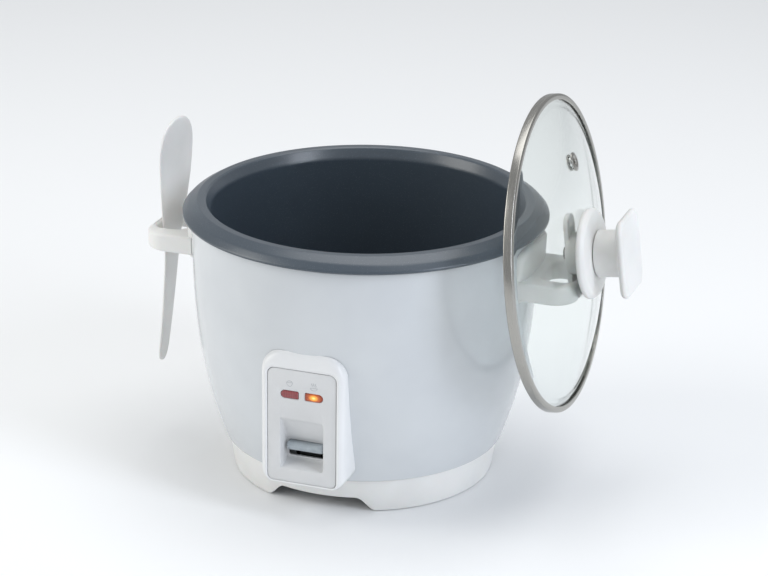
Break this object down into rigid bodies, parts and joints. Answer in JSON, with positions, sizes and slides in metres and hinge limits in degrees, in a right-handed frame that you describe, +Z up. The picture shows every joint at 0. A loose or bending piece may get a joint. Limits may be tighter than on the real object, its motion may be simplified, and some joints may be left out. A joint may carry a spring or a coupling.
{
  "type": "rice cooker",
  "caption": "White rice cooker with a lift-out dark non-stick pot, cook lever panel, glass lid hung on one side handle and a rice paddle in the other",
  "frame": {"origin": "on the table plane, at the middle of the footprint box of the whole object as stored, with the lid hung on one handle and the paddle in the other; the cooker's own upright axis stands at x = -0.0151 m, y = 0", "axes": "+Z up; -Y is the front, with the control panel; +X is the side where the lid hangs, -X the side that holds the paddle"},
  "size_m": [0.291, 0.21, 0.2327],
  "materials": {
    "white_body": "gloss white stove enamel on steel sheet",
    "white_plastic": "satin white moulded polypropylene",
    "panel_plastic": "fine-textured pale grey-white plastic",
    "nonstick": "dark blue-grey non-stick coating on aluminium, satin",
    "glass": "clear tempered glass",
    "stainless": "bright rolled stainless steel",
    "aluminium": "cast or spun aluminium, matt",
    "plated_steel": "zinc-plated sheet steel and screws",
    "grey_plastic": "blue-grey moulded plastic, satin",
    "red_lens": "translucent dark red lens, unlit",
    "amber_lens": "translucent amber lens, lit from behind",
    "black_plastic": "black heat-resistant plastic",
    "ferrite": "sintered ferrite, matt dark grey",
    "fibreglass": "woven fibreglass sleeve",
    "board": "green circuit board",
    "lead_sleeve": "heat-resistant white lead sleeve"
  },
  "bodies": {
    "base": {"base_ring": "white_plastic", "bottom_cover": "plated_steel", "bottom_screw_1": "plated_steel", "bottom_screw_2": "plated_steel", "bottom_screw_3": "plated_steel", "cook_lamp": "glass", "cook_lens": "red_lens", "heat_shield": "aluminium", "heater_element": "plated_steel", "heating_plate": "aluminium", "inlet_pin_1": "stainless", "inlet_pin_2": "stainless", "lamp_board": "board", "lead_fuse_to_switch": "lead_sleeve", "lead_inlet_to_fuse": "lead_sleeve", "lead_inlet_to_heater": "lead_sleeve", "left_handle": "white_plastic", "left_handle_screw_1": "plated_steel", "left_handle_screw_2": "plated_steel", "lever_bracket": "plated_steel", "lever_pin": "stainless", "magnet_spring": "plated_steel", "mains_inlet": "black_plastic", "outer_shell": "white_body", "panel_bezel": "white_plastic", "panel_face": "panel_plastic", "panel_screw_1": "plated_steel", "panel_screw_2": "plated_steel", "plate_screw_1": "plated_steel", "plate_screw_2": "plated_steel", "plate_screw_3": "plated_steel", "plate_spacer_1": "plated_steel", "plate_spacer_2": "plated_steel", "plate_spacer_3": "plated_steel", "right_handle": "white_plastic", "right_handle_screw_1": "plated_steel", "right_handle_screw_2": "plated_steel", "sensor_seat": "plated_steel", "sensor_spring": "plated_steel", "switch_body": "black_plastic", "thermal_fuse": "fibreglass", "warm_lamp": "glass", "warm_lens": "amber_lens"},
    "pot": {"inner_pot": "nonstick"},
    "lid": {"lid_glass": "glass", "lid_ring": "stainless", "vent_eyelet": "stainless", "knob_base": "white_plastic", "knob_grip": "white_plastic", "lid_hanger": "white_plastic", "knob_screw": "stainless"},
    "paddle": {"rice_paddle": "white_plastic"},
    "lever": {"lever_arm": "plated_steel", "lever_cap": "grey_plastic"},
    "magnet": {"magnet_holder": "grey_plastic", "latch_magnet": "ferrite"},
    "plunger": {"switch_plunger": "red_lens"},
    "sensor": {"sensor_cap": "aluminium", "sensor_ferrite": "ferrite"}
  },
  "joints": [
    {"name": "pot_lift", "type": "slide", "parent": "base", "child": "pot", "axis": [0, 0, 1], "range_m": [0, 0.06]},
    {"name": "lid_lift", "type": "slide", "parent": "base", "child": "lid", "axis": [0, 0, 1], "range_m": [0, 0.024]},
    {"name": "paddle_lift", "type": "slide", "parent": "base", "child": "paddle", "axis": [0.0721, 0, 0.9974], "range_m": [0, 0.11]},
    {"name": "lever_press", "type": "hinge", "parent": "base", "child": "lever", "pos_m": [-0.01509, -0.037, 0.0322], "axis": [1, 0, 0], "range_deg": [0, 4.3], "stiffness_Nm_per_rad": 0.06, "springref_deg": -14.32},
    {"name": "magnet_rise", "type": "slide", "parent": "base", "child": "magnet", "axis": [0, 0, 1], "range_m": [0, 0.0029], "deforming": ["magnet_spring"]},
    {"name": "switch_press", "type": "slide", "parent": "base", "child": "plunger", "axis": [0, 0, -1], "range_m": [0, 0.0023]},
    {"name": "sensor_press", "type": "slide", "parent": "base", "child": "sensor", "axis": [0, 0, 1], "range_m": [-0.002, 0], "stiffness_N_per_m": 400, "springref_m": 0.003, "deforming": ["sensor_spring"]}
  ],
  "couplings": [
    {"joint": "magnet_rise", "follows": "lever_press", "m_per_rad": 0.037},
    {"joint": "switch_press", "follows": "lever_press", "m_per_rad": 0.029}
  ]
}
